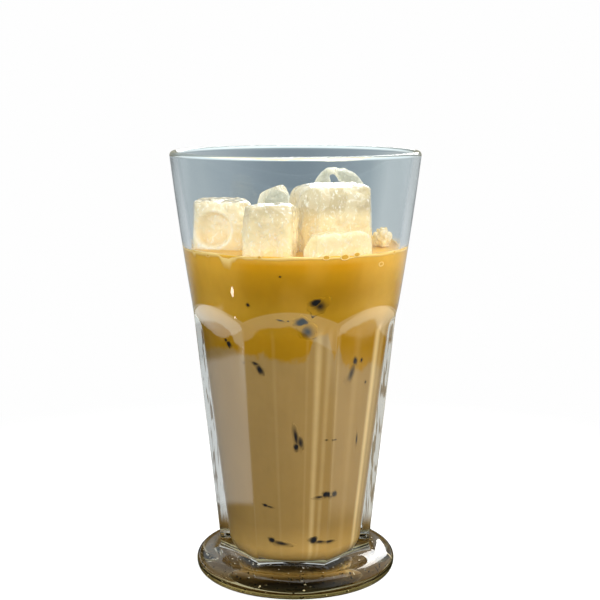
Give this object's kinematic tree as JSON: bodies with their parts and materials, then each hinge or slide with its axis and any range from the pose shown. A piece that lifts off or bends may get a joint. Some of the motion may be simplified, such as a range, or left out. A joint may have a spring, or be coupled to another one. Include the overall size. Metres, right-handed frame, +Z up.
{
  "type": "iced milk coffee",
  "caption": "Tall footed glass with flat panels, filled with layered milk coffee and ice, with free space under the rim.",
  "frame": {"origin": "centre of the underside of the foot, on the surface that the glass stands on", "axes": "+Z up along the glass's axis; -Y towards the side that the picture shows; +X to the right of that view"},
  "size_m": [0.085, 0.085, 0.1467],
  "materials": {
    "glass": "clear, polished, with a faint blue-grey cast",
    "coffee_milk": "opaque milky coffee, smooth",
    "coffee_top": "amber coffee, slightly clear, smooth",
    "ice_frosted": "frosted ice, milky and warm in tone",
    "ice_clear": "clear wet ice"
  },
  "bodies": {
    "root": {"glass": "glass", "coffee_milk": "coffee_milk", "coffee_top": "coffee_top", "ice_left": "ice_frosted", "ice_middle": "ice_frosted", "ice_right": "ice_frosted", "ice_front": "ice_frosted", "ice_crushed": "ice_frosted", "ice_small": "ice_clear", "ice_ring": "ice_clear"}
  },
  "joints": []
}
